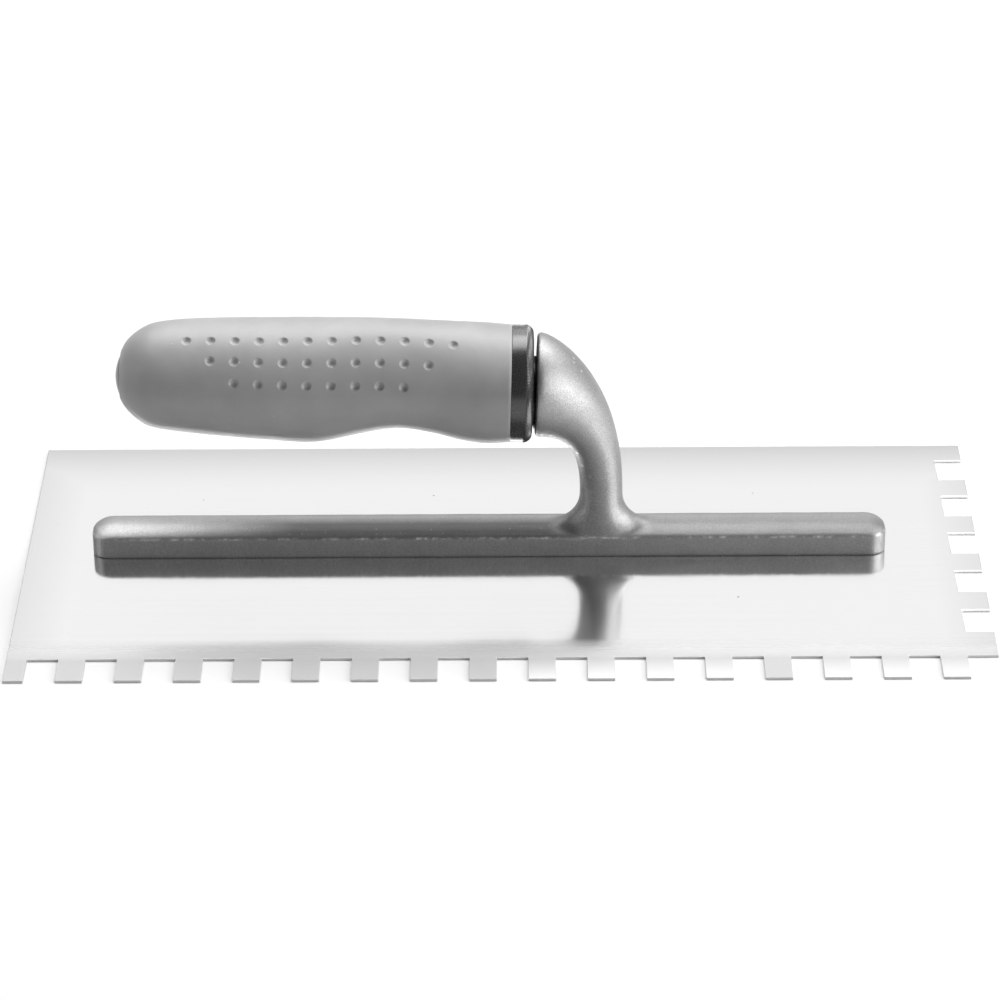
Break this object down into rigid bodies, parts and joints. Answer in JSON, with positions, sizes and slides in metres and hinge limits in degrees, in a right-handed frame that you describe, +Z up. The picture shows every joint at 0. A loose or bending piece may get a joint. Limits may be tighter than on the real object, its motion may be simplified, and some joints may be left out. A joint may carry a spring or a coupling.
{
  "type": "notched trowel",
  "caption": "Flat rectangular steel trowel with square notches along one long and one short edge, under a cast bar and swan neck with a rounded soft-grip handle.",
  "frame": {"origin": "centre of the blade's flat working face, at the bottom of the whole tool", "axes": "+X along the blade towards the notched short edge, +Y across it towards the plain long edge, +Z up towards the handle"},
  "size_m": [0.27, 0.13, 0.0724],
  "materials": {
    "blade_steel": "polished stainless sheet",
    "cast_aluminium": "fine-grained casting, blasted matt",
    "zinc_steel": "zinc plated",
    "core_plastic": "moulded, satin",
    "grip_rubber": "soft moulded elastomer, matt",
    "rivet_aluminium": "ground flush"
  },
  "bodies": {
    "root": {"blade": "blade_steel", "mounting": "cast_aluminium", "tang_rod": "zinc_steel", "handle_core": "core_plastic", "soft_grip": "grip_rubber", "rod_washer": "zinc_steel", "rod_nut": "zinc_steel", "butt_plug": "core_plastic", "rivet_1": "rivet_aluminium", "rivet_2": "rivet_aluminium", "rivet_3": "rivet_aluminium", "rivet_4": "rivet_aluminium", "rivet_5": "rivet_aluminium", "rivet_6": "rivet_aluminium", "rivet_7": "rivet_aluminium", "rivet_8": "rivet_aluminium"}
  },
  "joints": []
}
